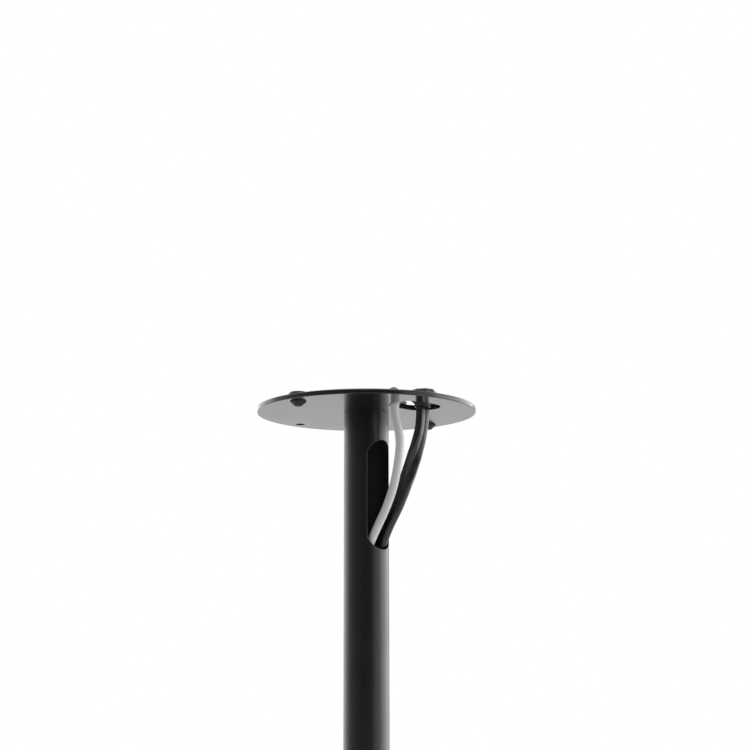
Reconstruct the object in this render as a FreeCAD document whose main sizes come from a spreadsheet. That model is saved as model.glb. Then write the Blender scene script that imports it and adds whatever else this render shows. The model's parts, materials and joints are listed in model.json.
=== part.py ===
import FreeCAD, Part
import math
import os
import Sketcher

Vector = FreeCAD.Vector
doc = FreeCAD.newDocument("SpeakerStand")

# ---------------------------------------------------------------- sizes, in mm and degrees
# Everything is upright on the Z axis, the floor is Z = 0, and the side with the cable
# cut-outs faces -Y.
sizes = {
    # weighted foot plate
    "baseDiameter": 300.0,
    "baseThickness": 8.0,
    "baseEdgeRound": 2.5,
    "baseLowerEdge": 0.8,
    # levelling feet under it
    "footCircle": 240.0,
    "footTurn": 45.0,
    "footDiameter": 28.0,
    "footDiscHeight": 6.0,
    "footSlope": 3.0,
    "soleDiameter": 24.0,
    "soleRise": 2.0,
    "soleSeat": 1.2,
    "studDiameter": 8.0,
    "studFlange": 14.0,
    "studFlangeHeight": 2.0,
    "studReach": 7.0,
    # pole
    "poleDiameter": 28.6,
    "poleWall": 1.5,
    "poleLength": 831.0,
    "slotWidth": 20.0,
    "slotLength": 69.0,
    "upperSlotDrop": 18.6,
    "lowerSlotRise": 20.0,
    # plugs that close the pole's ends
    "footPlugLength": 18.0,
    "headPlugLength": 16.0,
    "plugBore": 10.0,
    "plugTrim": 0.6,
    # bolt between the foot plate and the pole
    "boltDiameter": 10.0,
    "boltHeadDiameter": 17.0,
    "boltHeadHeight": 5.0,
    "boltLength": 20.0,
    "boltSocket": 6.0,
    "boltSocketDepth": 3.0,
    "washerDiameter": 20.0,
    "washerThickness": 1.5,
    "counterboreDepth": 4.0,
    # keying pin beside the bolt
    "pinDiameter": 4.0,
    "pinLength": 10.0,
    "pinOffset": 8.6,
    # top plate
    "plateDiameter": 140.0,
    "plateThickness": 3.2,
    "plateTopRound": 1.2,
    "plateLowerEdge": 0.35,
    "cableHoleLength": 36.0,
    "cableHoleWidth": 25.0,
    "cableHoleOffset": 41.4,
    "studCircle": 121.0,
    "studHole": 6.3,
    # countersunk screws through it
    "screwSpacing": 15.0,
    "screwDiameter": 5.0,
    "screwHead": 9.4,
    "screwHeadHeight": 2.3,
    "screwLength": 14.0,
    "screwSocket": 3.0,
    "screwSocketDepth": 1.4,
    # push-in rubber buffers
    "bufferHead": 12.0,
    "bufferHeadHeight": 2.4,
    "bufferBarb": 10.0,
    "bufferBarbTip": 3.8,
    "bufferBarbHeight": 3.1,
    "bufferBarbLip": 0.5,
    # anti-slip pad
    "padDiameter": 104.0,
    "padFlat": 15.0,
    "padThickness": 2.4,
    "padEdge": 0.5,
    # mains lead: connector on the plate, coil and plug on the foot plate
    "mainsDiameter": 7.6,
    "mainsX": 6.7,
    "mainsY": -42.1,
    "connectorTurn": 30.0,
    "connectorLength": 31.0,
    "connectorBack": 5.6,
    "connectorWidth": 15.4,
    "connectorHeight": 8.0,
    "connectorHeel": 4.4,
    "connectorRound": 2.0,
    "connectorSocket": 2.8,
    "connectorSocketDepth": 12.0,
    "connectorSpacing": 8.6,
    "connectorBoss": 10.0,
    "mainsCoilX": 59.0,
    "mainsCoilY": -77.0,
    "mainsCoilRadius": 47.0,
    "mainsLayerStep": 10.0,
    "mainsCoilLift": 2.1,
    "mainsTurns": 1.0,
    "reliefLength": 20.0,
    "reliefTip": 9.6,
    "reliefRoot": 12.0,
    "plugLength": 34.0,
    "plugWidth": 36.0,
    "plugNeck": 18.0,
    "plugHeight": 14.0,
    "plugRound": 2.0,
    "plugPinDiameter": 4.0,
    "plugPinLength": 19.0,
    "plugPinSpacing": 18.6,
    # signal lead: angled jack on the plate, coil and straight jack on the foot plate
    "signalDiameter": 5.3,
    "signalX": -11.8,
    "signalY": -35.5,
    "jackTurn": 210.0,
    "jackDiameter": 7.0,
    "jackLength": 22.0,
    "jackBack": 4.0,
    "jackBoss": 6.4,
    "farJackDiameter": 9.0,
    "jackRelief": 12.0,
    "jackReliefTip": 6.4,
    "jackBarrel": 16.0,
    "tipDiameter": 3.5,
    "tipLength": 14.0,
    "signalCoilX": -66.0,
    "signalCoilY": -64.0,
    "signalCoilRadius": 32.5,
    "signalLayerStep": 6.6,
    "signalCoilLift": 1.2,
    "signalTurns": 1.5,
    # straps round the coils
    "tieThickness": 0.9,
    "tieWidth": 12.0,
    # clearances
    "pressGap": 0.05,
    "slipGap": 0.15,
    "coilGap": 1.5,
}

sheet = doc.addObject("Spreadsheet::Sheet", "Sizes")
for row, (alias, number) in enumerate(sizes.items(), start=1):
    sheet.set(f"A{row}", alias)
    sheet.set(f"B{row}", f"{number:g}")
    sheet.setAlias(f"B{row}", alias)
doc.recompute()

baseTop = "Sizes.footDiscHeight + Sizes.soleRise + Sizes.baseThickness"
baseUnder = "Sizes.footDiscHeight + Sizes.soleRise"
plateUnder = baseTop + " + Sizes.poleLength"
plateTop = plateUnder + " + Sizes.plateThickness"

pieces = []


# ---------------------------------------------------------------- drawing helpers
def place(piece, x="0", y="0", z="0", turn=None):
    """Puts a piece where three expressions say, turned about Z by a fourth."""
    for axis, expression in zip("xyz", (x, y, z)):
        piece.setExpression(f"Placement.Base.{axis}", expression)
    if turn:
        piece.setExpression("Placement.Rotation.Angle", turn)


def newBody(label):
    body = doc.addObject("PartDesign::Body", label)
    body.Label = label
    pieces.append(body)
    return body


def originFeature(body, role):
    return next(f for f in body.Origin.OriginFeatures if f.Role == role)


def newSketch(body, role, name, offset=None):
    sketch = body.newObject("Sketcher::SketchObject", f"{body.Name}_{name}")
    sketch.AttachmentSupport = [(originFeature(body, role), "")]
    sketch.MapMode = "FlatFace"
    if offset:
        sketch.setExpression("AttachmentOffset.Base.z", offset)
    return sketch


def number(expression):
    """What an expression of sheet names comes to."""
    return float(sheet.evalExpression(expression))


def bound(sketch, kind, *targets, to):
    """Adds a dimension to a sketch at its true value and binds it to an expression."""
    index = sketch.addConstraint(Sketcher.Constraint(kind, *targets, number(to)))
    sketch.setExpression(f"Constraints[{index}]", to)


def pinPoint(sketch, edge, end, x, y):
    """Holds one point of a sketch at two expressions; "0" is on the sketch's own axis."""
    for kind, axis, expression in (("DistanceX", -2, x), ("DistanceY", -1, y)):
        if expression == "0":
            sketch.addConstraint(Sketcher.Constraint("PointOnObject", edge, end, axis))
        else:
            bound(sketch, kind, -1, 1, edge, end, to=expression)


def drawCircle(sketch, diameter, x="0", y="0"):
    centre = Vector(number(x), number(y), 0)
    edge = sketch.addGeometry(Part.Circle(centre, Vector(0, 0, 1), number(diameter) / 2))
    pinPoint(sketch, edge, 3, x, y)
    bound(sketch, "Diameter", edge, to=diameter)


def drawOutline(sketch, corners):
    """Draws a closed outline through corners that are pairs of expressions."""
    spots = [Vector(number(x), number(y), 0) for x, y in corners]
    edges = [
        sketch.addGeometry(Part.LineSegment(one, two)) for one, two in zip(spots, spots[1:] + spots[:1])
    ]
    for i, (x, y) in enumerate(corners):
        sketch.addConstraint(Sketcher.Constraint("Coincident", edges[i - 1], 2, edges[i], 1))
        pinPoint(sketch, edges[i], 1, x, y)


def drawSlot(sketch, width, length, x, low, upright):
    """Draws a slot with round ends, from its low end at an expression along its length."""
    reach = [f"{low} + {length} - {width} / 2", f"{low} + {width} / 2"]
    ends = [(number(x), number(along)) if upright else (number(along), number(x)) for along in reach]
    circles = [Part.Circle(Vector(*end, 0), Vector(0, 0, 1), number(width) / 2) for end in ends]
    first = 0 if upright else -math.pi / 2
    far = sketch.addGeometry(Part.ArcOfCircle(circles[0], first, first + math.pi))
    near = sketch.addGeometry(Part.ArcOfCircle(circles[1], first + math.pi, first + 2 * math.pi))
    ends = [sketch.getPoint(edge, end) for edge, end in ((far, 2), (near, 1), (near, 2), (far, 1))]
    sides = [sketch.addGeometry(Part.LineSegment(ends[i], ends[i + 1])) for i in (0, 2)]
    for one, one_end, two, two_end in (
        (far, 2, sides[0], 1),
        (sides[0], 2, near, 1),
        (near, 2, sides[1], 1),
        (sides[1], 2, far, 1),
    ):
        sketch.addConstraint(Sketcher.Constraint("Tangent", one, one_end, two, two_end))
    sketch.addConstraint(Sketcher.Constraint("Vertical" if upright else "Horizontal", sides[0]))
    bound(sketch, "Radius", near, to=f"{width} / 2")
    for edge, along in zip((far, near), reach):
        if upright:
            pinPoint(sketch, edge, 3, x, along)
        else:
            pinPoint(sketch, edge, 3, along, x)


def pad(body, sketch, length, name="pad"):
    feature = body.newObject("PartDesign::Pad", f"{body.Name}_{name}")
    feature.Profile = sketch
    feature.setExpression("Length", length)
    sketch.Visibility = False
    return feature


def pocket(body, sketch, length=None, name="cut", backwards=False):
    """Cuts a sketch out of a body, right through it where no length is given."""
    doc.recompute()
    before = body.Shape.Volume
    feature = body.newObject("PartDesign::Pocket", f"{body.Name}_{name}")
    feature.Profile = sketch
    feature.Reversed = backwards
    if length:
        feature.setExpression("Length", length)
    else:
        feature.Type = "ThroughAll"
    doc.recompute()
    if feature.Shape.Volume >= before - 1e-6:
        raise RuntimeError(f"{feature.Name} takes nothing away")
    return feature


def revolve(label, corners):
    """Turns an outline of (radius, height) expressions about Z into a piece."""
    body = newBody(label)
    sketch = newSketch(body, "XZ_Plane", "outline")
    drawOutline(sketch, corners)
    turned = body.newObject("PartDesign::Revolution", f"{label}_turned")
    turned.Profile = sketch
    turned.ReferenceAxis = (sketch, ["V_Axis"])
    turned.Angle = 360.0
    doc.recompute()
    return body


def soften(body, size, wanted, name="round", kind="Fillet"):
    """Rounds or bevels the edges of a body's last feature that a test picks out."""
    doc.recompute()
    base = body.Tip
    names = [f"Edge{i}" for i, edge in enumerate(base.Shape.Edges, start=1) if wanted(edge)]
    feature = body.newObject(f"PartDesign::{kind}", f"{body.Name}_{name}")
    feature.Base = (base, names)
    feature.setExpression("Radius" if kind == "Fillet" else "Size", size)
    doc.recompute()
    return feature


def ringAt(height, radius, tolerance=0.01):
    """A test for the round edges of one radius at one height."""

    def wanted(edge):
        curve = edge.Curve
        if not isinstance(curve, Part.Circle):
            return False
        return abs(curve.Radius - radius) < tolerance and abs(curve.Center.z - height) < tolerance

    return wanted


def copiesAround(body, feature, count, angle):
    """Repeats a cut around the body's own Z axis."""
    pattern = body.newObject("PartDesign::PolarPattern", f"{feature.Name}_around")
    pattern.Originals = [feature]
    pattern.Axis = (originFeature(body, "Z_Axis"), [""])
    pattern.Angle = angle
    pattern.Occurrences = count
    body.Tip = pattern
    doc.recompute()
    return pattern


def group(label, members):
    """Makes one piece out of several like solids."""
    for member in members:
        if member in pieces:
            pieces.remove(member)
    compound = doc.addObject("Part::Compound", label)
    compound.Label = label
    compound.Links = members
    pieces.append(compound)
    return compound


# ---------------------------------------------------------------- weighted foot plate
def makeBasePlate():
    body = newBody("base_plate")
    outline = newSketch(body, "XY_Plane", "outline")
    drawCircle(outline, "Sizes.baseDiameter")
    pad(body, outline, "Sizes.baseThickness")
    radius = sizes["baseDiameter"] / 2
    soften(body, "Sizes.baseEdgeRound", ringAt(sizes["baseThickness"], radius), "top_edge")
    soften(body, "Sizes.baseLowerEdge", ringAt(0, radius), "lower_edge", "Chamfer")
    bolt = newSketch(body, "XY_Plane", "bolt_hole")
    drawCircle(bolt, "Sizes.boltDiameter + 4 * Sizes.slipGap")
    pocket(body, bolt, name="bolt_cut", backwards=True)
    seat = newSketch(body, "XY_Plane", "counterbore")
    drawCircle(seat, "Sizes.washerDiameter + 4 * Sizes.slipGap")
    pocket(body, seat, "Sizes.counterboreDepth", "counterbore_cut", backwards=True)
    pin = newSketch(body, "XY_Plane", "pin_hole", "Sizes.baseThickness")
    drawCircle(pin, "Sizes.pinDiameter + 2 * Sizes.pressGap", y="Sizes.pinOffset")
    pocket(body, pin, "Sizes.pinLength / 2 - Sizes.counterboreDepth / 2", "pin_cut")
    foot = newSketch(body, "XY_Plane", "foot_hole")
    drawCircle(foot, "Sizes.studDiameter", x="Sizes.footCircle / 2")
    cut = pocket(body, foot, name="foot_cut", backwards=True)
    copiesAround(body, cut, 4, 360)
    place(body, z=baseUnder, turn="Sizes.footTurn")
    return body


def makeFoot(corner):
    """A screw-in foot: threaded stud, moulded disc around its flange, rubber sole below."""
    angle = f"Sizes.footTurn + {90 * (corner - 1)}"
    spot = {
        "x": f"Sizes.footCircle / 2 * cos({angle})",
        "y": f"Sizes.footCircle / 2 * sin({angle})",
    }
    shank = "Sizes.studDiameter / 2 - Sizes.slipGap"
    flange = "Sizes.studFlange / 2"
    middle = "Sizes.soleRise + 2"
    flangeTop = f"{middle} + Sizes.studFlangeHeight"
    top = "Sizes.soleRise + Sizes.footDiscHeight"
    seat = "Sizes.soleRise + Sizes.soleSeat"
    stud = revolve(
        f"foot_{corner}_stud",
        [
            ("0", middle),
            (flange, middle),
            (flange, flangeTop),
            (shank, flangeTop),
            (shank, f"{top} + Sizes.studReach - 0.6"),
            (f"{shank} - 0.6", f"{top} + Sizes.studReach"),
            ("0", f"{top} + Sizes.studReach"),
        ],
    )
    disc = revolve(
        f"foot_{corner}_disc",
        [
            ("0", seat),
            ("Sizes.soleDiameter / 2", seat),
            ("Sizes.soleDiameter / 2", "Sizes.soleRise"),
            ("Sizes.footDiameter / 2", "Sizes.soleRise"),
            ("Sizes.footDiameter / 2", "Sizes.soleRise + Sizes.footSlope"),
            ("Sizes.footDiameter / 2 - Sizes.footSlope", top),
            (shank, top),
            (shank, flangeTop),
            (flange, flangeTop),
            (flange, middle),
            ("0", middle),
        ],
    )
    sole = revolve(
        f"foot_{corner}_sole",
        [
            ("0", "0"),
            ("Sizes.soleDiameter / 2 - 1.5", "0"),
            ("Sizes.soleDiameter / 2 - 0.1", "1.2"),
            ("Sizes.soleDiameter / 2 - 0.1", seat),
            ("0", seat),
        ],
    )
    for piece in (stud, disc, sole):
        place(piece, **spot)


def makeBaseBolt():
    """Washer and button-head bolt, hidden in the plate's counterbore, threaded up into the pole."""
    washer = revolve(
        "base_washer",
        [
            ("Sizes.boltDiameter / 2 + Sizes.slipGap", "0"),
            ("Sizes.washerDiameter / 2", "0"),
            ("Sizes.washerDiameter / 2", "Sizes.washerThickness"),
            ("Sizes.boltDiameter / 2 + Sizes.slipGap", "Sizes.washerThickness"),
        ],
    )
    seat = f"{baseUnder} + Sizes.counterboreDepth - Sizes.washerThickness"
    place(washer, z=seat)
    bolt = revolve(
        "base_bolt",
        [
            ("0", "0"),
            ("Sizes.boltHeadDiameter / 2 - 2", "0"),
            ("Sizes.boltHeadDiameter / 2", "2.5"),
            ("Sizes.boltHeadDiameter / 2", "Sizes.boltHeadHeight"),
            ("Sizes.boltDiameter / 2 - Sizes.slipGap", "Sizes.boltHeadHeight"),
            ("Sizes.boltDiameter / 2 - Sizes.slipGap", "Sizes.boltHeadHeight + Sizes.boltLength - 1"),
            ("Sizes.boltDiameter / 2 - 1", "Sizes.boltHeadHeight + Sizes.boltLength"),
            ("0", "Sizes.boltHeadHeight + Sizes.boltLength"),
        ],
    )
    cutSocket(bolt, "Sizes.boltSocket", "Sizes.boltSocketDepth")
    place(bolt, z=f"{seat} - Sizes.boltHeadHeight")


def cutSocket(body, acrossFlats, depth, height=None):
    """Cuts a hexagon socket into the end of a screw, from below, or from a height downwards."""
    sketch = newSketch(body, "XY_Plane", "socket", height)
    corner = f"{acrossFlats} / 2 / cos(30)"
    around = [
        (corner, "0"),
        (f"{corner} / 2", f"{acrossFlats} / 2"),
        (f"-{corner} / 2", f"{acrossFlats} / 2"),
        (f"-{corner}", "0"),
        (f"-{corner} / 2", f"-{acrossFlats} / 2"),
        (f"{corner} / 2", f"-{acrossFlats} / 2"),
    ]
    drawOutline(sketch, around)
    pocket(body, sketch, depth, "socket_cut", backwards=height is None)


def makeKeyPin():
    pin = revolve(
        "base_key_pin",
        [
            ("0", "0"),
            ("Sizes.pinDiameter / 2 - 0.4", "0"),
            ("Sizes.pinDiameter / 2", "0.4"),
            ("Sizes.pinDiameter / 2", "Sizes.pinLength - Sizes.counterboreDepth - 0.4"),
            ("Sizes.pinDiameter / 2 - 0.4", "Sizes.pinLength - Sizes.counterboreDepth"),
            ("0", "Sizes.pinLength - Sizes.counterboreDepth"),
        ],
    )
    place(
        pin,
        x="-Sizes.pinOffset * sin(Sizes.footTurn)",
        y="Sizes.pinOffset * cos(Sizes.footTurn)",
        z=f"{baseTop} - Sizes.pinLength / 2 + Sizes.counterboreDepth / 2",
    )


# ---------------------------------------------------------------- pole and its end plugs
def makePole():
    body = newBody("pole")
    ring = newSketch(body, "XY_Plane", "ring")
    drawCircle(ring, "Sizes.poleDiameter")
    drawCircle(ring, "Sizes.poleDiameter - 2 * Sizes.poleWall")
    pad(body, ring, "Sizes.poleLength")
    lows = {
        "lower_slot": "Sizes.lowerSlotRise",
        "upper_slot": "Sizes.poleLength - Sizes.upperSlotDrop - Sizes.slotLength",
    }
    for name, low in lows.items():
        slot = newSketch(body, "XZ_Plane", name)
        drawSlot(slot, "Sizes.slotWidth", "Sizes.slotLength", "0", low, upright=True)
        pocket(body, slot, "Sizes.poleDiameter", f"{name}_cut", backwards=True)
    place(body, z=baseTop)
    return body


def makeFootPlug():
    """Threaded plug pressed into the pole's lower end."""
    bore = "Sizes.poleDiameter / 2 - Sizes.poleWall - Sizes.pressGap"
    plug = revolve(
        "pole_foot_plug",
        [
            ("Sizes.plugBore / 2", "0"),
            (f"{bore} - Sizes.plugTrim", "0"),
            (bore, "Sizes.plugTrim"),
            (bore, "Sizes.footPlugLength - Sizes.plugTrim"),
            (f"{bore} - Sizes.plugTrim", "Sizes.footPlugLength"),
            ("Sizes.plugBore / 2", "Sizes.footPlugLength"),
        ],
    )
    pin = newSketch(plug, "XY_Plane", "pin_hole")
    drawCircle(pin, "Sizes.pinDiameter + 2 * Sizes.pressGap", y="Sizes.pinOffset")
    pocket(plug, pin, "Sizes.pinLength / 2", "pin_cut", backwards=True)
    place(plug, z=baseTop, turn="Sizes.footTurn")


def makeHeadPlug():
    """Plug pressed into the pole's upper end, tapped for the two plate screws."""
    bore = "Sizes.poleDiameter / 2 - Sizes.poleWall - Sizes.pressGap"
    plug = revolve(
        "pole_head_plug",
        [
            ("0", "0"),
            (f"{bore} - Sizes.plugTrim", "0"),
            (bore, "Sizes.plugTrim"),
            (bore, "Sizes.headPlugLength - Sizes.plugTrim"),
            (f"{bore} - Sizes.plugTrim", "Sizes.headPlugLength"),
            ("0", "Sizes.headPlugLength"),
        ],
    )
    hole = newSketch(plug, "XY_Plane", "screw_hole")
    drawCircle(hole, "Sizes.screwDiameter", x="Sizes.screwSpacing / 2")
    cut = pocket(plug, hole, name="screw_cut", backwards=True)
    copiesAround(plug, cut, 2, 360)
    place(plug, z=f"{plateUnder} - Sizes.headPlugLength")


# ---------------------------------------------------------------- top plate
def makeTopPlate():
    body = newBody("top_plate")
    outline = newSketch(body, "XY_Plane", "outline")
    drawCircle(outline, "Sizes.plateDiameter")
    pad(body, outline, "Sizes.plateThickness")
    radius = sizes["plateDiameter"] / 2
    soften(body, "Sizes.plateTopRound", ringAt(sizes["plateThickness"], radius), "top_edge")
    soften(body, "Sizes.plateLowerEdge", ringAt(0, radius), "lower_edge", "Chamfer")
    cable = newSketch(body, "XY_Plane", "cable_hole")
    drawSlot(
        cable,
        "Sizes.cableHoleWidth",
        "Sizes.cableHoleLength",
        "-Sizes.cableHoleOffset",
        "-Sizes.cableHoleLength / 2",
        upright=False,
    )
    pocket(body, cable, name="cable_cut", backwards=True)
    stud = newSketch(body, "XY_Plane", "stud_hole")
    drawCircle(stud, "Sizes.studHole", x="Sizes.studCircle / 2")
    cut = pocket(body, stud, name="stud_cut", backwards=True)
    copiesAround(body, cut, 3, 180)
    sink = newSketch(body, "XZ_Plane", "countersink")
    middle = "Sizes.screwSpacing / 2"
    shank = f"{middle} + Sizes.screwDiameter / 2 + Sizes.slipGap"
    head = f"{middle} + Sizes.screwHead / 2 + Sizes.pressGap"
    neck = "Sizes.plateThickness - Sizes.screwHeadHeight"
    drawOutline(
        sink,
        [
            (middle, "0"),
            (shank, "0"),
            (shank, neck),
            (head, "Sizes.plateThickness"),
            (middle, "Sizes.plateThickness"),
        ],
    )
    groove = body.newObject("PartDesign::Groove", "top_plate_countersink_cut")
    groove.Profile = sink
    groove.ReferenceAxis = (sink, ["Edge5"])
    groove.Angle = 360.0
    before = body.Shape.Volume
    doc.recompute()
    if groove.Shape.Volume >= before:
        raise RuntimeError("the countersink takes nothing away")
    copiesAround(body, groove, 2, 360)
    place(body, z=plateUnder)
    return body


def makePlateScrews():
    screws = []
    for side in (1, -1):
        screw = revolve(
            f"plate_screw_{'right' if side > 0 else 'left'}",
            [
                ("0", "0"),
                ("Sizes.screwDiameter / 2 - 0.8", "0"),
                ("Sizes.screwDiameter / 2 - Sizes.pressGap", "0.8"),
                ("Sizes.screwDiameter / 2 - Sizes.pressGap", "Sizes.screwLength - Sizes.screwHeadHeight"),
                ("Sizes.screwHead / 2 - Sizes.pressGap", "Sizes.screwLength"),
                ("0", "Sizes.screwLength"),
            ],
        )
        cutSocket(screw, "Sizes.screwSocket", "Sizes.screwSocketDepth", "Sizes.screwLength")
        place(screw, x=f"{side} * Sizes.screwSpacing / 2", z=f"{plateTop} - Sizes.screwLength")
        screws.append(screw)
    group("top_plate_screws", screws)


def makeBuffers():
    """Rubber buffers: a domed head on the plate, a neck in its hole and a barb below it."""
    neck = "Sizes.studHole / 2 - Sizes.pressGap"
    barb = "Sizes.bufferBarbHeight"
    over = f"{barb} + Sizes.plateThickness"
    head = "Sizes.bufferHead / 2"
    for name, side in (("left", -1), ("right", 1)):
        buffer = revolve(
            f"plate_buffer_{name}",
            [
                ("0", "0"),
                ("Sizes.bufferBarbTip / 2", "0"),
                ("Sizes.bufferBarb / 2", f"{barb} - Sizes.bufferBarbLip"),
                ("Sizes.bufferBarb / 2", barb),
                (neck, barb),
                (neck, over),
                (head, over),
                (head, f"{over} + Sizes.bufferHeadHeight / 2"),
                (f"{head} - Sizes.bufferHeadHeight / 2", f"{over} + Sizes.bufferHeadHeight"),
                ("0", f"{over} + Sizes.bufferHeadHeight"),
            ],
        )
        place(buffer, x=f"{side} * Sizes.studCircle / 2", z=f"{plateUnder} - {barb}")


def makePad():
    """Anti-slip pad: a disc with a straight side that leaves the cable hole free."""
    body = newBody("top_pad")
    outline = newSketch(body, "XY_Plane", "outline")
    drawCircle(outline, "Sizes.padDiameter")
    pad(body, outline, "Sizes.padThickness")
    flat = newSketch(body, "XY_Plane", "flat_side")
    far = "Sizes.padDiameter"
    edge = "-Sizes.padFlat"
    drawOutline(flat, [(f"-{far}", f"-{far}"), (far, f"-{far}"), (far, edge), (f"-{far}", edge)])
    pocket(body, flat, name="flat_cut", backwards=True)
    top = sizes["padThickness"]
    soften(body, "Sizes.padEdge", lambda edge: edge.BoundBox.ZMin > top - 0.01, "top_edge")
    place(body, z=plateTop)


# ---------------------------------------------------------------- routes and tubes
def arc(start, corner, finish):
    """The arc from start to finish whose end tangents meet at a corner equally far from both."""
    middle = (start + finish) / 2
    half = math.acos(min(1.0, (finish - start).Length / 2 / (corner - start).Length))
    top = middle + (corner - middle) * (math.tan(half / 2) / math.tan(half))
    return Part.Arc(start, top, finish).toShape()


def roundedRoute(points):
    """Straight runs joined by tangent arcs, as large as the shorter of the two runs allows."""
    share = 0.45
    edges = []
    radii = []
    last = points[0]
    for before, corner, after in zip(points, points[1:], points[2:]):
        run = share * min((corner - before).Length, (after - corner).Length)
        turn = (corner - before).getAngle(after - corner)
        start = corner + (before - corner).normalize() * run
        finish = corner + (after - corner).normalize() * run
        edges.append(Part.LineSegment(last, start).toShape())
        edges.append(arc(start, corner, finish))
        radii.append(run / math.tan(turn / 2))
        last = finish
    edges.append(Part.LineSegment(last, points[-1]).toShape())
    return edges, radii


def tube(label, edges, diameter):
    """Sweeps a round section along a path and compares the volume with section times length."""
    path = Part.Wire(edges)
    start = edges[0].Vertexes[0].Point
    ahead = edges[0].tangentAt(edges[0].FirstParameter)
    section = Part.Wire([Part.Circle(start, ahead, diameter / 2).toShape()])
    solid = path.makePipeShell([section], True, False)
    piece = doc.addObject("Part::Feature", label)
    piece.Label = label
    piece.Shape = solid
    pieces.append(piece)
    expected = math.pi * diameter**2 / 4 * path.Length
    share = solid.Volume / expected
    print(f"{label}: {path.Length:.0f} mm long, volume {share:.4f} of section times length")
    return path.Length


def freeLead(label, route, diameter):
    edges, radii = roundedRoute([Vector(*point) for point in route])
    print(f"{label}: radii in diameters", " ".join(f"{radius / diameter:.1f}" for radius in radii))
    return tube(label, edges, diameter)


def coil(name, centre, startAngle, way, low):
    """A coil of two layers: in along the lower one, up in half a turn, out along the upper one."""
    diameter = sizes[f"{name}Diameter"]
    step = diameter + sizes["coilGap"]
    turnsEachLayer = sizes[f"{name}Turns"]
    climb = 0.5
    whole = 2 * turnsEachLayer + climb

    def at(turns):
        up = min(max((turns - turnsEachLayer) / climb, 0), 1)
        inward = min(turns, turnsEachLayer, whole - turns)
        radius = sizes[f"{name}CoilRadius"] - step * inward
        angle = startAngle + way * 2 * math.pi * turns
        height = low + sizes[f"{name}LayerStep"] * (1 - math.cos(math.pi * up)) / 2
        return Vector(centre[0] + radius * math.cos(angle), centre[1] + radius * math.sin(angle), height)

    def heading(turns):
        if turns in (0, whole):
            angle = startAngle + way * 2 * math.pi * turns
            return Vector(-way * math.sin(angle), way * math.cos(angle), 0)
        return (at(turns + 0.02) - at(turns - 0.02)).normalize()

    edges = [Part.LineSegment(at(0) - heading(0) * diameter, at(0)).toShape()]
    count = round(whole * 4)
    stations = [whole * i / count for i in range(count + 1)]
    for one, two in zip(stations, stations[1:]):
        edges += biarc(at(one), heading(one), at(two), heading(two))
    edges.append(Part.LineSegment(at(whole), at(whole) + heading(whole) * diameter).toShape())
    length = tube(f"{name}_lead_coil", edges, diameter)
    path = Part.Wire(edges).discretize(Number=round(length / 2))
    apart = math.ceil(diameter * 2 / (length / len(path)))
    nearest = min((one - two).Length for i, one in enumerate(path) for two in path[i + apart :])
    print(f"{name}_lead_coil: least gap to itself {nearest - diameter:.2f} mm")
    return length


def biarc(start, leaving, finish, arriving):
    """Two tangent arcs from one point and heading to another."""
    gap = finish - start
    both = leaving + arriving
    square = 2 * (1 - leaving.dot(arriving))
    reach = gap.dot(both)
    size = (math.sqrt(reach**2 + square * gap.dot(gap)) - reach) / square
    corners = (start + leaving * size, finish - arriving * size)
    middle = (corners[0] + corners[1]) / 2
    return [arc(start, corners[0], middle), arc(middle, corners[1], finish)]


# ---------------------------------------------------------------- ends of the leads
def layDown(piece, x, y, z, heading):
    """Lays a piece down so that its Z axis points along a heading in degrees; x, y, z are numbers."""
    turned = FreeCAD.Rotation(Vector(0, 0, 1), heading).multiply(FreeCAD.Rotation(Vector(0, 1, 0), 90))
    piece.Placement = FreeCAD.Placement(Vector(x, y, z), turned)


def makeMainsConnector():
    """Angled two-pole connector: it lies on the plate, and its lead leaves down the cable hole."""
    body = newBody("mains_connector")
    outline = newSketch(body, "XY_Plane", "outline")
    back = "-Sizes.connectorBack"
    front = "Sizes.connectorLength - Sizes.connectorBack"
    side = "Sizes.connectorWidth / 2"
    heel = "Sizes.connectorHeel"
    drawOutline(
        outline,
        [
            (back, f"{heel} - {side}"),
            (f"{back} + {heel}", f"-{side}"),
            (front, f"-{side}"),
            (front, side),
            (f"{back} + {heel}", side),
            (back, f"{side} - {heel}"),
        ],
    )
    pad(body, outline, "Sizes.connectorHeight")
    far = sizes["connectorLength"] - sizes["connectorBack"]
    soften(body, "Sizes.connectorRound", lambda edge: edge.BoundBox.XMin < far - 1, "edges")
    boss = newSketch(body, "XY_Plane", "boss")
    drawCircle(boss, "Sizes.connectorBoss")
    down = pad(body, boss, "Sizes.plateThickness + Sizes.slipGap", "boss_pad")
    down.Reversed = True
    ends = newSketch(body, "YZ_Plane", "sockets", front)
    for hand in ("", "-"):
        offset = f"{hand}Sizes.connectorSpacing / 2"
        drawCircle(ends, "Sizes.connectorSocket", offset, "Sizes.connectorHeight / 2")
    pocket(body, ends, "Sizes.connectorSocketDepth", "sockets_cut")
    place(body, x="Sizes.mainsX", y="Sizes.mainsY", z=plateTop, turn="Sizes.connectorTurn")


def jackTip(label):
    """The jack's contact pin, with its two insulating rings as shallow grooves."""
    radius = "Sizes.tipDiameter / 2"
    groove = f"{radius} - 0.15"
    length = "Sizes.tipLength"
    return revolve(
        label,
        [
            ("0", "0"),
            (radius, "0"),
            (radius, f"{length} * 0.45"),
            (groove, f"{length} * 0.45"),
            (groove, f"{length} * 0.5"),
            (radius, f"{length} * 0.5"),
            (radius, f"{length} - 4.2"),
            (groove, f"{length} - 4.2"),
            (groove, f"{length} - 3.5"),
            (radius, f"{length} - 2.8"),
            ("0.4", length),
            ("0", length),
        ],
    )


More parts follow.
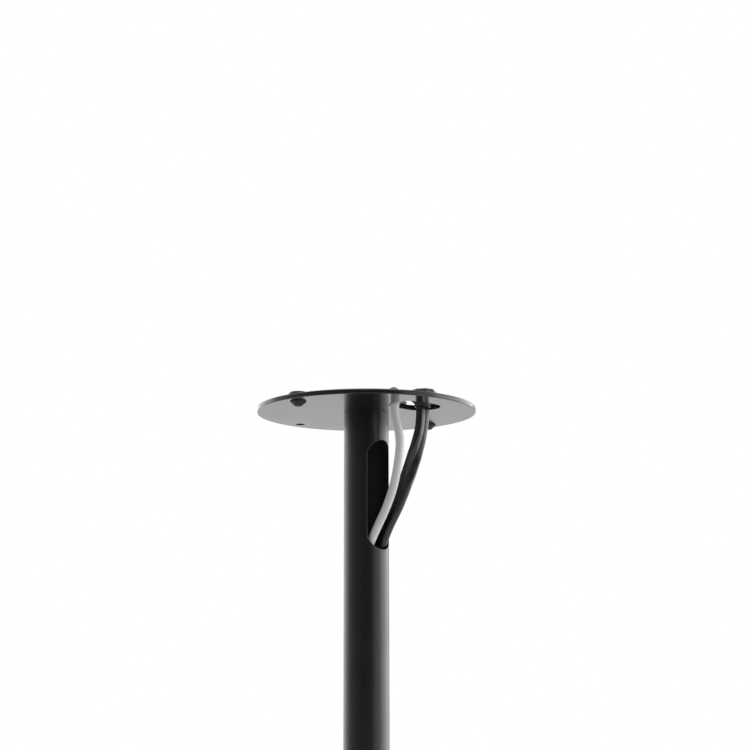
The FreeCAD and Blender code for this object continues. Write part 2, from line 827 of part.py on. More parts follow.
def makeSignalJack():
    """Angled jack: its barrel lies on the plate, and its lead leaves down the cable hole."""
    body = newBody("signal_jack")
    back = "Sizes.jackBack - Sizes.jackLength"
    section = newSketch(body, "YZ_Plane", "section", back)
    drawCircle(section, "Sizes.jackDiameter")
    pad(body, section, "Sizes.jackLength")
    soften(body, "Sizes.plugTrim", lambda edge: edge.BoundBox.XLength < 1e-3, "ends")
    boss = newSketch(body, "XY_Plane", "boss")
    drawCircle(boss, "Sizes.jackBoss")
    drop = "Sizes.jackDiameter / 2 + Sizes.plateThickness + 2 * Sizes.slipGap"
    down = pad(body, boss, drop, "boss_pad")
    down.Reversed = True
    doc.recompute()
    height = f"{plateTop} + Sizes.jackDiameter / 2 + Sizes.slipGap"
    place(body, x="Sizes.signalX", y="Sizes.signalY", z=height, turn="Sizes.jackTurn")
    tip = jackTip("signal_jack_tip")
    layDown(tip, 0, 0, 0, 180 + sizes["jackTurn"])
    place(
        tip,
        x=f"Sizes.signalX + ({back}) * cos(Sizes.jackTurn)",
        y=f"Sizes.signalY + ({back}) * sin(Sizes.jackTurn)",
        z=height,
    )


def makeMainsPlug(spot, heading):
    """Flat two-pin plug on its side of the foot plate, with its strain relief and pins."""
    relief = revolve(
        "mains_plug_relief",
        [
            ("0", "0"),
            ("Sizes.reliefTip / 2", "0"),
            ("Sizes.reliefRoot / 2", "Sizes.reliefLength"),
            ("0", "Sizes.reliefLength"),
        ],
    )
    layDown(relief, *spot, heading)
    along = Vector(math.cos(math.radians(heading)), math.sin(math.radians(heading)), 0)
    across = Vector(-along.y, along.x, 0)
    body = newBody("mains_plug")
    outline = newSketch(body, "XY_Plane", "outline", "-Sizes.plugHeight / 2")
    neck = "Sizes.plugNeck / 2"
    side = "Sizes.plugWidth / 2"
    shoulder = "Sizes.plugLength * 0.4"
    drawOutline(
        outline,
        [
            ("0", f"-{neck}"),
            (shoulder, f"-{side}"),
            ("Sizes.plugLength", f"-{side} + 1"),
            ("Sizes.plugLength", f"{side} - 1"),
            (shoulder, side),
            ("0", neck),
        ],
    )
    pad(body, outline, "Sizes.plugHeight")
    soften(body, "Sizes.plugRound", lambda edge: edge.BoundBox.ZLength > 1, "corners")
    front = sizes["plugLength"]

    def rim(edge):
        return edge.BoundBox.ZLength < 0.1 and edge.BoundBox.XMin < front - 3

    soften(body, "Sizes.plugRound * 0.75", rim, "rims")
    start = Vector(*spot) + along * sizes["reliefLength"]
    body.Placement = FreeCAD.Placement(start, FreeCAD.Rotation(Vector(0, 0, 1), heading))
    pins = []
    for name, hand in (("left", 1), ("right", -1)):
        pin = revolve(
            f"mains_pin_{name}",
            [
                ("0", "0"),
                ("Sizes.plugPinDiameter / 2", "0"),
                ("Sizes.plugPinDiameter / 2", "Sizes.plugPinLength - 1"),
                ("Sizes.plugPinDiameter / 2 - 1", "Sizes.plugPinLength"),
                ("0", "Sizes.plugPinLength"),
            ],
        )
        foot = start + along * sizes["plugLength"] + across * hand * sizes["plugPinSpacing"] / 2
        layDown(pin, foot.x, foot.y, foot.z, heading)
        pins.append(pin)
    group("mains_plug_pins", pins)


def makeFarJack(spot, heading):
    """Straight jack: tapered strain relief, barrel and contact pin."""
    thick = "Sizes.farJackDiameter / 2"
    barrel = revolve(
        "signal_plug",
        [
            ("0", "0"),
            ("Sizes.jackReliefTip / 2", "0"),
            (f"{thick} - 0.8", "Sizes.jackRelief"),
            (thick, "Sizes.jackRelief"),
            (thick, "Sizes.jackRelief + Sizes.jackBarrel - Sizes.plugTrim"),
            (f"{thick} - Sizes.plugTrim", "Sizes.jackRelief + Sizes.jackBarrel"),
            ("0", "Sizes.jackRelief + Sizes.jackBarrel"),
        ],
    )
    layDown(barrel, *spot, heading)
    along = Vector(math.cos(math.radians(heading)), math.sin(math.radians(heading)), 0)
    tip = jackTip("signal_plug_tip")
    foot = Vector(*spot) + along * (sizes["jackRelief"] + sizes["jackBarrel"])
    layDown(tip, foot.x, foot.y, foot.z, heading)


def makeTie(name):
    """A strap round one side of a coil, as a flat loop that its turns pass through."""
    body = newBody(f"{name}_coil_tie")
    diameter = f"Sizes.{name}Diameter"
    outer = f"Sizes.{name}CoilRadius + {diameter} / 2"
    inner = f"Sizes.{name}CoilRadius - ({diameter} + Sizes.coilGap) * Sizes.{name}Turns - {diameter} / 2"
    low = "Sizes.slipGap + Sizes.tieThickness"
    high = f"2 * Sizes.{name}CoilLift + Sizes.{name}LayerStep + {diameter} - {low}"
    frame = newSketch(body, "YZ_Plane", "frame", "-Sizes.tieWidth / 2")
    for grow in ("0", "Sizes.tieThickness"):
        far = f"-({outer}) - {grow}"
        near = f"-({inner}) + Sizes.tieThickness + {grow}"
        under = f"{low} - {grow}"
        over = f"{high} + {grow}"
        drawOutline(frame, [(far, under), (near, under), (near, over), (far, over)])
    pad(body, frame, "Sizes.tieWidth")
    place(body, x=f"Sizes.{name}CoilX", y=f"Sizes.{name}CoilY", z=baseTop)


# ---------------------------------------------------------------- the two leads
# Route points are chosen by hand: x, y and a height, which counts down from the plate's
# underside in the upper half of the pole and up from the foot plate in the lower half.
mainsUpper = [
    (6.7, -42.1, -9),
    (6.1, -39.8, -20),
    (5.6, -35.3, -32),
    (5.5, -28.6, -46.5),
    (5.1, -21.2, -60.8),
    (4.5, -12.2, -74.5),
    (4.7, -4.6, -89.5),
    (6.0, -1.1, -107),
    (7.0, 0.9, -134),
    (7.0, 2.6, -178),
    (6.2, 3.8, -238),
    (5.9, 4.2, -302),
]
mainsLower = [
    (6.4, 3.6, 464),
    (7.0, 2.0, 398),
    (7.2, -0.2, 330),
    (7.0, -2.0, 264),
    (6.9, -2.6, 204),
    (6.7, -2.2, 152),
    (6.5, -2.1, 115),
    (5.9, -3.2, 88),
    (5.3, -7.0, 69),
    (5.1, -11.8, 54.5),
    (5.3, -17.2, 42),
    (6.4, -23.4, 29.8),
    (8.3, -31.6, 18.6),
    (10.6, -42.6, 10),
]
mainsTail = [
    (105.6, -45.5, 13.4),
    (104.0, -33.0, 10.5),
    (100.6, -20.5, 8.0),
    (95.0, -8.5, 7.0),
    (88.2, 2.4, 7.0),
]
signalUpper = [
    (-11.8, -35.5, -8),
    (-9.6, -36.9, -16.6),
    (-8.0, -36.3, -25),
    (-7.0, -34.0, -34),
    (-5.2, -29.0, -48),
    (-4.6, -21.8, -62),
    (-4.6, -12.2, -76),
    (-5.7, -4.6, -90.5),
    (-7.6, -0.8, -108),
    (-8.6, 1.2, -132),
    (-8.4, 2.8, -172),
    (-7.9, 4.0, -228),
    (-7.7, 4.4, -292),
]
signalLower = [
    (-8.0, 3.6, 470),
    (-8.5, 2.0, 404),
    (-8.7, -0.2, 336),
    (-8.5, -2.2, 270),
    (-8.2, -3.0, 212),
    (-7.9, -2.9, 160),
    (-7.2, -3.1, 120),
    (-6.2, -5.6, 78),
    (-5.6, -11.5, 54),
    (-8.6, -18.6, 36),
    (-15.6, -24.6, 22),
    (-23.6, -30.4, 12.5),
    (-30.0, -38.8, 6.4),
]
signalTail = [
    (-97.8, -40.5, 8.3),
    (-95.0, -30.5, 6.3),
    (-91.0, -22.0, 5.0),
    (-86.0, -14.0, 4.65),
    (-80.6, -6.4, 4.65),
]


def makeLead(name, upper, lower, tail, startAngle, way, landing, leaving):
    """One lead: from its upper end down the pole to its coil, and from the coil to its plug."""
    diameter = sizes[f"{name}Diameter"]
    top = number(plateUnder)
    floor = number(baseTop)
    centreX = sizes[f"{name}CoilX"]
    centreY = sizes[f"{name}CoilY"]
    reach = sizes[f"{name}CoilRadius"] * math.cos(startAngle)
    low = floor + sizes[f"{name}CoilLift"] + diameter / 2
    high = low + sizes[f"{name}LayerStep"]
    route = [(sizes[f"{name}X"], sizes[f"{name}Y"], top - sizes["slipGap"])]
    route += [(x, y, top + height) for x, y, height in upper]
    route += [(x, y, floor + height) for x, y, height in lower]
    route += [(centreX + reach, landing, low), (centreX + reach, centreY + diameter, low)]
    total = freeLead(f"{name}_lead", route, diameter)
    total += coil(name, (centreX, centreY), startAngle, way, low)
    route = [(centreX - reach, centreY + diameter, high), (centreX - reach, leaving, high)]
    route += [(x, y, floor + height) for x, y, height in tail]
    total += freeLead(f"{name}_lead_tail", route, diameter)
    print(f"{name} lead: {total / 1000:.2f} m in all")
    (x1, y1, z1), (x2, y2, z2) = route[-2:]
    return (x2, y2, z2), math.degrees(math.atan2(y2 - y1, x2 - x1))


makeBasePlate()
for corner in (1, 2, 3, 4):
    makeFoot(corner)
makeBaseBolt()
makeKeyPin()
makePole()
makeFootPlug()
makeHeadPlug()
makeTopPlate()
makePlateScrews()
makeBuffers()
makePad()
makeMainsConnector()
makeMainsPlug(*makeLead("mains", mainsUpper, mainsLower, mainsTail, math.pi, 1, -55.6, -58.0))
makeTie("mains")
makeSignalJack()
makeFarJack(*makeLead("signal", signalUpper, signalLower, signalTail, 0.0, -1, -48.5, -50.0))
makeTie("signal")

# ---------------------------------------------------------------- checks and files
doc.recompute()
for thing in doc.Objects:
    if "Invalid" in thing.State or "Error" in thing.State:
        raise RuntimeError(f"{thing.Label} is in state {thing.State}")
for piece in pieces:
    if piece.Shape.isNull() or not piece.Shape.isValid() or not piece.Shape.Solids:
        raise RuntimeError(f"{piece.Label} has no valid shape")
os.makedirs("parts", exist_ok=True)
for piece in pieces:
    piece.Shape.exportStep(f"parts/{piece.Label}.step")
    box = piece.Shape.BoundBox
    measures = f"{box.XLength:.1f} x {box.YLength:.1f} x {box.ZLength:.1f}"
    print(f"{piece.Label}: {len(piece.Shape.Solids)} solid, {measures}")
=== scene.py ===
import json
import math

import bmesh
import bpy
from mathutils import Matrix, Vector


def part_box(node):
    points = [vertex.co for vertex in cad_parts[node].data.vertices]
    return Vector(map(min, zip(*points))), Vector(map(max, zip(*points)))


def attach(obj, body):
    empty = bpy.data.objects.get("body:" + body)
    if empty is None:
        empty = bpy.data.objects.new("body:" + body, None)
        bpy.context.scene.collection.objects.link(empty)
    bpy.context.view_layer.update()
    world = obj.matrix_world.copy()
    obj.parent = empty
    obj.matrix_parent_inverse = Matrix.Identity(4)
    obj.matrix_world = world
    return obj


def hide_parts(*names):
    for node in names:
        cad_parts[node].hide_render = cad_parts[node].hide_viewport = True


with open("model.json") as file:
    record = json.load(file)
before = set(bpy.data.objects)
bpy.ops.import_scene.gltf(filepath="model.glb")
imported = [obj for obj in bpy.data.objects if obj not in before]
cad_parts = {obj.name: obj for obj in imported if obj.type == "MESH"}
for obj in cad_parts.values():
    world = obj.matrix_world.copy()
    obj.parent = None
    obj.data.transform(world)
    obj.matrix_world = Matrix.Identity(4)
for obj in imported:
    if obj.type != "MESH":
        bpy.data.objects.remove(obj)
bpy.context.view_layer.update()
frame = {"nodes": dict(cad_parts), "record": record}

mm = 0.001
scene = bpy.context.scene
print("frame loaded")

# the photograph's own viewpoint, worked out from the outlines of the plate and the slot
cameraSetup = {
    "place": (-0.6893, -0.6505, 0.6811),
    "heading": -47.0,  # degrees from looking along +Y, clockwise is negative
    "pitch": 11.4,
    "roll": -0.09,
    "lens": 72.14,
    "sensor": 36.0,
}


def makeCamera(setup):
    data = bpy.data.cameras.new("camera")
    data.lens = setup["lens"]
    data.sensor_width = setup["sensor"]
    camera = bpy.data.objects.new("camera", data)
    turned = Matrix.Rotation(math.radians(setup["heading"]), 4, "Z")
    turned = turned @ Matrix.Rotation(math.radians(90 + setup["pitch"]), 4, "X")
    turned = turned @ Matrix.Rotation(math.radians(setup["roll"]), 4, "Z")
    camera.matrix_world = Matrix.Translation(setup["place"]) @ turned
    scene.collection.objects.link(camera)
    scene.camera = camera


makeCamera(cameraSetup)


# small helpers for the materials' nodes
def newMaterial(name):
    material = bpy.data.materials.new(name)
    material.use_nodes = True
    return material, material.node_tree.nodes, material.node_tree.links


def addNode(nodes, kind, **values):
    node = nodes.new(kind)
    for socket, value in values.items():
        node.inputs[socket.replace("_", " ")].default_value = value
    return node


def ramp(nodes, links, source, stops):
    node = nodes.new("ShaderNodeValToRGB")
    for element, (position, colour) in zip(node.color_ramp.elements, stops):
        element.position = position
        element.color = (*colour, 1)
    links.new(source, node.inputs["Fac"])
    return node.outputs["Color"]


def spread(nodes, links, source, low, high):
    # maps a noise's middle range to low..high
    node = nodes.new("ShaderNodeMapRange")
    node.inputs["From Min"].default_value = 0.3
    node.inputs["From Max"].default_value = 0.7
    node.inputs["To Min"].default_value = low
    node.inputs["To Max"].default_value = high
    links.new(source, node.inputs["Value"])
    return node.outputs["Result"]


def noise(nodes, links, place, scale, detail=3.0, rough=0.5):
    node = addNode(nodes, "ShaderNodeTexNoise", Scale=scale, Detail=detail, Roughness=rough)
    links.new(place, node.inputs["Vector"])
    return node.outputs["Fac"]


def stretched(nodes, links, place, scale):
    node = nodes.new("ShaderNodeMapping")
    node.inputs["Scale"].default_value = scale
    links.new(place, node.inputs["Vector"])
    return node.outputs["Vector"]


def bump(nodes, links, source, strength, depth, under=None):
    node = addNode(nodes, "ShaderNodeBump", Strength=strength, Distance=depth)
    links.new(source, node.inputs["Height"])
    if under:
        links.new(under, node.inputs["Normal"])
    return node.outputs["Normal"]


def roundedEdges(nodes, links, radius):
    # a softened normal at sharp edges, and how far it turns from the face there
    bevel = nodes.new("ShaderNodeBevel")
    bevel.samples = 6
    bevel.inputs["Radius"].default_value = radius
    face = nodes.new("ShaderNodeNewGeometry").outputs["Normal"]
    turn = nodes.new("ShaderNodeVectorMath")
    turn.operation = "DOT_PRODUCT"
    links.new(bevel.outputs["Normal"], turn.inputs[0])
    links.new(face, turn.inputs[1])
    edge = nodes.new("ShaderNodeMapRange")
    edge.inputs["From Min"].default_value = 0.985
    edge.inputs["From Max"].default_value = 0.90
    links.new(turn.outputs["Value"], edge.inputs["Value"])
    return bevel.outputs["Normal"], edge.outputs["Result"]


def mixColours(nodes, links, share, one, two):
    node = nodes.new("ShaderNodeMix")
    node.data_type = "RGBA"
    links.new(share, node.inputs["Factor"])
    links.new(one, node.inputs["A"])
    node.inputs["B"].default_value = (*two, 1)
    return node.outputs["Result"]


def nearAxis(nodes, links, place, radius):
    # 1 within a radius of the pole's axis, 0 outside
    flat = stretched(nodes, links, place, (1, 1, 0))
    away = nodes.new("ShaderNodeVectorMath")
    away.operation = "LENGTH"
    links.new(flat, away.inputs[0])
    inside = nodes.new("ShaderNodeMath")
    inside.operation = "LESS_THAN"
    inside.inputs[1].default_value = radius
    links.new(away.outputs["Value"], inside.inputs[0])
    return inside.outputs["Value"]


coat = {
    "colour": (0.0045, 0.0045, 0.0047),
    "dust": (0.0080, 0.0080, 0.0082),
    "wornAndEdgeHighlight": (0.040, 0.040, 0.041),  # thinner coat along the edges, and partly a painted highlight on them
    "edgeRadius": 0.0005,
    "roughness": (0.14, 0.20),
    "cloudScale": 9.0,
    "blotchScale": 45.0,
    "grainScale": 900.0,  # orange peel, bumps of about 1 mm
    "grainDepth": 0.00002,
    "fineScale": 3800.0,
    "fineDepth": 0.000008,
}
poleCoat = {
    **coat,
    # the pole's edges are painted far lighter: a painted highlight along the slot's edges on top
    # of the thinner coat
    "wornAndEdgeHighlight": (0.10, 0.10, 0.102),
    "roughness": (0.29, 0.35),
    "boreRadius": 0.0130,
    "paintedBoreLight": (0.036, 0.036, 0.037),  # painted light: the tube's inside is painted lighter than its outside, where little light reaches
}


def powderCoat(name, setup):
    material, nodes, links = newMaterial(name)
    shader = nodes["Principled BSDF"]
    place = nodes.new("ShaderNodeTexCoord").outputs["Object"]
    softened, edge = roundedEdges(nodes, links, setup["edgeRadius"])
    cloud = noise(nodes, links, place, setup["cloudScale"], 4.0, 0.6)
    even = ramp(nodes, links, cloud, [(0.35, setup["colour"]), (0.75, setup["dust"])])
    # painted light: within the bore the colour turns lighter, in place of light reaching the
    # tube's inside
    if "boreRadius" in setup:
        bore = nearAxis(nodes, links, place, setup["boreRadius"])
        even = mixColours(nodes, links, bore, even, setup["paintedBoreLight"])
    # sharp edges take the lighter edge colour: wear together with a painted highlight
    links.new(mixColours(nodes, links, edge, even, setup["wornAndEdgeHighlight"]), shader.inputs["Base Color"])
    blotch = noise(nodes, links, place, setup["blotchScale"], 3.0, 0.6)
    links.new(spread(nodes, links, blotch, *setup["roughness"]), shader.inputs["Roughness"])
    grain = noise(nodes, links, place, setup["grainScale"], 1.0)
    peel = bump(nodes, links, grain, 0.35, setup["grainDepth"], softened)
    fine = noise(nodes, links, place, setup["fineScale"], 2.0)
    links.new(bump(nodes, links, fine, 0.3, setup["fineDepth"], peel), shader.inputs["Normal"])
    shader.inputs["IOR"].default_value = 1.5
    return material


blackPlastic = {
    "low": (0.012, 0.012, 0.0122),
    "high": (0.020, 0.020, 0.0203),
    "roughness": (0.38, 0.5),
    "cloudScale": 60.0,
    "markScale": 420.0,
    "grainScale": 2600.0,
    "grainDepth": 0.00003,
}
greyPlastic = {
    **blackPlastic,
    "low": (0.33, 0.33, 0.325),
    "high": (0.38, 0.38, 0.375),
    "roughness": (0.36, 0.46),
}
footPlastic = {
    **blackPlastic,
    "low": (0.016, 0.016, 0.0163),
    "high": (0.026, 0.026, 0.0264),
    "roughness": (0.45, 0.6),
}


def mouldedPlastic(name, setup):
    # fine spark-eroded texture with a few handling marks
    material, nodes, links = newMaterial(name)
    shader = nodes["Principled BSDF"]
    place = nodes.new("ShaderNodeTexCoord").outputs["Object"]
    cloud = noise(nodes, links, place, setup["cloudScale"])
    colour = ramp(nodes, links, cloud, [(0.3, setup["low"]), (0.7, setup["high"])])
    links.new(colour, shader.inputs["Base Color"])
    upright = stretched(nodes, links, place, (1, 1, 0.15))
    marks = noise(nodes, links, upright, setup["markScale"], 4.0, 0.7)
    links.new(spread(nodes, links, marks, *setup["roughness"]), shader.inputs["Roughness"])
    grain = noise(nodes, links, place, setup["grainScale"], 2.0)
    links.new(bump(nodes, links, grain, 0.35, setup["grainDepth"]), shader.inputs["Normal"])
    return material


bufferRubber = {
    "low": (0.014, 0.014, 0.014),
    "high": (0.026, 0.026, 0.0262),
    "roughness": (0.62, 0.8),
    "bloomScale": 110.0,  # pale bloom that rubber gets with age
    "rubbedScale": 300.0,
    "poreScale": 1900.0,
    "poreDepth": 0.00005,
}
soleRubber = {**bufferRubber, "roughness": (0.7, 0.88)}
strapRubber = {**bufferRubber, "roughness": (0.55, 0.7)}


def mouldedRubber(name, setup):
    material, nodes, links = newMaterial(name)
    shader = nodes["Principled BSDF"]
    place = nodes.new("ShaderNodeTexCoord").outputs["Object"]
    bloom = noise(nodes, links, place, setup["bloomScale"], 5.0, 0.65)
    colour = ramp(nodes, links, bloom, [(0.35, setup["low"]), (0.75, setup["high"])])
    links.new(colour, shader.inputs["Base Color"])
    rubbed = noise(nodes, links, place, setup["rubbedScale"])
    links.new(spread(nodes, links, rubbed, *setup["roughness"]), shader.inputs["Roughness"])
    pores = noise(nodes, links, place, setup["poreScale"], 3.0, 0.7)
    links.new(bump(nodes, links, pores, 0.5, setup["poreDepth"]), shader.inputs["Normal"])
    shader.inputs["Specular IOR Level"].default_value = 0.4
    return material


padRubber = {
    "low": (0.016, 0.016, 0.016),
    "high": (0.030, 0.030, 0.0302),
    "roughness": (0.75, 0.92),
    "cellScale": 900.0,
    "cellDepth": 0.00025,
    "pressedScale": 25.0,
}


def cellularRubber(name, setup):
    # closed cells of about 1 mm, cut open at the surface
    material, nodes, links = newMaterial(name)
    shader = nodes["Principled BSDF"]
    place = nodes.new("ShaderNodeTexCoord").outputs["Object"]
    cells = addNode(nodes, "ShaderNodeTexVoronoi", Scale=setup["cellScale"], Randomness=1.0)
    links.new(place, cells.inputs["Vector"])
    cell = cells.outputs["Distance"]
    # painted shade: the cells' pits, sunk by the same texture below, are coloured darker than
    # their rims
    colour = ramp(nodes, links, cell, [(0.1, setup["low"]), (0.7, setup["high"])])
    links.new(colour, shader.inputs["Base Color"])
    pressed = noise(nodes, links, place, setup["pressedScale"])
    links.new(spread(nodes, links, pressed, *setup["roughness"]), shader.inputs["Roughness"])
    links.new(bump(nodes, links, cell, 0.6, setup["cellDepth"]), shader.inputs["Normal"])
    shader.inputs["Specular IOR Level"].default_value = 0.3
    return material


zincSteel = {
    "low": (0.46, 0.47, 0.49),
    "high": (0.60, 0.60, 0.60),
    "roughness": (0.24, 0.40),
    "stainScale": 160.0,
    "ringScale": 5200.0,
    "ringDepth": 0.00001,
}
turnedAluminium = {
    **zincSteel,
    "low": (0.52, 0.52, 0.53),
    "high": (0.64, 0.64, 0.64),
    "roughness": (0.22, 0.36),
}
nickelContacts = {
    **zincSteel,
    "low": (0.60, 0.58, 0.54),
    "high": (0.72, 0.70, 0.66),
    "roughness": (0.12, 0.22),
}
blackenedSteel = {
    **zincSteel,
    "low": (0.020, 0.020, 0.021),
    "high": (0.042, 0.042, 0.043),
    "roughness": (0.34, 0.48),
}


def machinedMetal(name, setup):
    # turning marks run round the piece, as rings along its height
    material, nodes, links = newMaterial(name)
    shader = nodes["Principled BSDF"]
    shader.inputs["Metallic"].default_value = 1.0
    place = nodes.new("ShaderNodeTexCoord").outputs["Object"]
    stain = noise(nodes, links, place, setup["stainScale"], 4.0)
    colour = ramp(nodes, links, stain, [(0.3, setup["low"]), (0.7, setup["high"])])
    links.new(colour, shader.inputs["Base Color"])
    flattened = stretched(nodes, links, place, (0.05, 0.05, 1))
    rings = noise(nodes, links, flattened, setup["ringScale"], 2.0)
    links.new(spread(nodes, links, rings, *setup["roughness"]), shader.inputs["Roughness"])
    links.new(bump(nodes, links, rings, 0.25, setup["ringDepth"]), shader.inputs["Normal"])
    return material


mainsInsulation = {
    "low": (0.0055, 0.0055, 0.0057),
    "high": (0.009, 0.009, 0.0092),
    "roughness": (0.25, 0.33),
    "cloudScale": 35.0,
    "scuffScale": 480.0,
    "waveScale": 120.0,
    "waveDepth": 0.00010,
    "fineScale": 1500.0,
    "fineDepth": 0.00002,
}
signalInsulation = {
    **mainsInsulation,
    "low": (0.50, 0.50, 0.495),
    "high": (0.57, 0.57, 0.565),
    "roughness": (0.28, 0.38),
}


def leadInsulation(name, setup):
    # drawn insulation: faint long waves and scuffs, no grain
    material, nodes, links = newMaterial(name)
    shader = nodes["Principled BSDF"]
    place = nodes.new("ShaderNodeTexCoord").outputs["Object"]
    cloud = noise(nodes, links, place, setup["cloudScale"])
    colour = ramp(nodes, links, cloud, [(0.3, setup["low"]), (0.7, setup["high"])])
    links.new(colour, shader.inputs["Base Color"])
    scuffs = noise(nodes, links, place, setup["scuffScale"], 5.0, 0.7)
    links.new(spread(nodes, links, scuffs, *setup["roughness"]), shader.inputs["Roughness"])
    drawn = noise(nodes, links, place, setup["waveScale"], 2.0)
    waves = bump(nodes, links, drawn, 0.2, setup["waveDepth"])
    fine = noise(nodes, links, place, setup["fineScale"], 2.0)
    links.new(bump(nodes, links, fine, 0.12, setup["fineDepth"], waves), shader.inputs["Normal"])
    return material


finishes = {
    "plate_paint": powderCoat("plateCoat", coat),
    "pole_paint": powderCoat("poleCoat", poleCoat),
    "zinc_steel": machinedMetal("zincSteel", zincSteel),
    "black_steel": machinedMetal("blackenedSteel", blackenedSteel),
    "plug_metal": machinedMetal("turnedAluminium", turnedAluminium),
    "contact_metal": machinedMetal("nickelContacts", nickelContacts),
    "buffer_rubber": mouldedRubber("bufferRubber", bufferRubber),
    "sole_rubber": mouldedRubber("soleRubber", soleRubber),
    "tie_rubber": mouldedRubber("strapRubber", strapRubber),
    "pad_rubber": cellularRubber("padRubber", padRubber),
    "foot_plastic": mouldedPlastic("footPlastic", footPlastic),
    "black_plastic": mouldedPlastic("connectorPlastic", blackPlastic),
    "grey_plastic": mouldedPlastic("jackPlastic", greyPlastic),
    "black_lead": leadInsulation("mainsInsulation", mainsInsulation),
    "grey_lead": leadInsulation("signalInsulation", signalInsulation),
}

for part in frame["record"]["subparts"]:
    cadPiece = frame["nodes"][part["node"]]
    cadPiece.data.materials.clear()
    cadPiece.data.materials.append(finishes[part["material_slot"]])
print("finishes made")


def nurbsCurve(name, points):
    data = bpy.data.curves.new(name, "CURVE")
    data.dimensions = "3D"
    spline = data.splines.new("NURBS")
    spline.points.add(len(points) - 1)
    for knot, point in zip(spline.points, points):
        knot.co = (*point, 1)
    spline.order_u = 3
    spline.use_endpoint_u = True
    spline.resolution_u = 10
    piece = bpy.data.objects.new(name, data)
    scene.collection.objects.link(piece)
    return piece


def pointsOf(curve):
    bpy.context.view_layer.update()
    line = bpy.data.meshes.new_from_object(curve)
    points = [vertex.co.copy() for vertex in line.vertices]
    bpy.data.meshes.remove(line)
    return points


def lengthOf(points):
    return sum((two - one).length for one, two in zip(points, points[1:]))


def coilPoints(setup):
    # in along the lower layer, up in half a turn, out along the upper one
    stepsPerTurn = 16
    climb = 0.5  # of a turn
    whole = 2 * setup["turns"] + climb
    count = round(whole * stepsPerTurn)
    bulge = 1 + (1 - math.cos(math.pi / stepsPerTurn)) * 0.75  # the spline runs inside its points
    points = []
    for index in range(count + 1):
        turn = whole * index / count
        inward = min(turn, setup["turns"], whole - turn)
        radius = (setup["radius"] - setup["pitch"] * inward) * bulge
        up = min(max((turn - setup["turns"]) / climb, 0), 1)
        angle = setup["start"] + setup["way"] * 2 * math.pi * turn
        height = setup["low"] + setup["layerStep"] * (1 - math.cos(math.pi * up)) / 2
        x = setup["centre"][0] + radius * math.cos(angle)
        y = setup["centre"][1] + radius * math.sin(angle)
        points.append((x, y, height))
    return points


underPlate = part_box("top_plate")[0].z / mm  # heights of the routes count from these two
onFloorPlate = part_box("base_plate")[1].z / mm

mains = {
    "width": 9.5,
    "thickness": 5.0,
    "valley": 0.5,  # depth of the groove between its two cores
    "valleyWidth": 0.6,
    "square": 2.6,  # 2 gives round cores, more gives flatter sides
    "sides": 52,
    "start": (6.7, -42.1, -0.15),
    "upper": [
        (6.7, -42.1, -9),
        (6.1, -39.8, -20),
        (5.6, -35.3, -32),
        (5.5, -28.6, -46.5),
        (5.1, -21.2, -60.8),
        (4.5, -12.2, -74.5),
        (4.7, -4.6, -89.5),
        (6.0, -1.1, -107),
        (7.0, 0.9, -134),
        (7.0, 2.6, -178),
        (6.2, 3.8, -238),
        (5.9, 4.2, -302),
    ],
    "lower": [
        (6.4, 3.6, 464),
        (7.0, 2.0, 398),
        (7.2, -0.2, 330),
        (7.0, -2.0, 264),
        (6.9, -2.6, 204),
        (6.7, -2.2, 152),
        (6.5, -2.1, 115),
        (5.9, -3.2, 88),
        (5.3, -7.0, 69),
        (5.1, -11.8, 54.5),
        (5.3, -17.2, 42),
        (6.4, -23.4, 29.8),
        (8.3, -31.6, 18.6),
        (10.6, -42.6, 10),
        (12, -55.6, 5.9),
    ],
    "coil": {
        "centre": (59, -77),
        "radius": 47,
        "start": math.pi,
        "way": 1,
        "turns": 1.0,
        "pitch": 9.1,
        "layerStep": 10,
        "low": 5.9,
    },
    "tail": [
        (106, -58, 15.9),
        (105.6, -45.5, 13.4),
        (104.0, -33.0, 10.5),
        (100.6, -20.5, 8.0),
        (95.0, -8.5, 7.0),
        (88.2, 2.4, 7.0),
    ],
}
signal = {
    "width": 5.3,
    "start": (-11.8, -35.5, -0.15),
    "upper": [
        (-11.8, -35.5, -8),
        (-9.6, -36.9, -16.6),
        (-8.0, -36.3, -25),
        (-7.0, -34.0, -34),
        (-5.2, -29.0, -48),
        (-4.6, -21.8, -62),
        (-4.6, -12.2, -76),
        (-5.7, -4.6, -90.5),
        (-7.6, -0.8, -108),
        (-8.6, 1.2, -132),
        (-8.4, 2.8, -172),
        (-7.9, 4.0, -228),
        (-7.7, 4.4, -292),
    ],
    "lower": [
        (-8.0, 3.6, 470),
        (-8.5, 2.0, 404),
        (-8.7, -0.2, 336),
        (-8.5, -2.2, 270),
        (-8.2, -3.0, 212),
        (-7.9, -2.9, 160),
        (-7.2, -3.1, 120),
        (-6.2, -5.6, 78),
        (-5.6, -11.5, 54),
        (-8.6, -18.6, 36),
        (-15.6, -24.6, 22),
        (-23.6, -30.4, 12.5),
        (-30.0, -38.8, 6.4),
        (-33.5, -48.5, 3.85),
    ],
    "coil": {
        "centre": (-66, -64),
        "radius": 32.5,
        "start": 0.0,
        "way": -1,
        "turns": 1.5,
        "pitch": 6.8,
        "layerStep": 6.6,
        "low": 3.85,
    },
    "tail": [
        (-98.5, -50, 10.45),
        (-97.8, -40.5, 8.3),
        (-95.0, -30.5, 6.3),
        (-91.0, -22.0, 5.0),
        (-86.0, -14.0, 4.65),
        (-80.6, -6.4, 4.65),
    ],
}


def wholeRoute(lead):
    x, y, drop = lead["start"]
    route = [(x, y, underPlate + drop)]
    route += [(x, y, underPlate + height) for x, y, height in lead["upper"]]
    loose = [*lead["lower"], *coilPoints(lead["coil"]), *lead["tail"]]
    route += [(x, y, onFloorPlate + height) for x, y, height in loose]
    return [Vector(point) * mm for point in route]


def declareLead(piece, lead, length):
    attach(piece, "stand")
    wholeRoute(lead)[0]


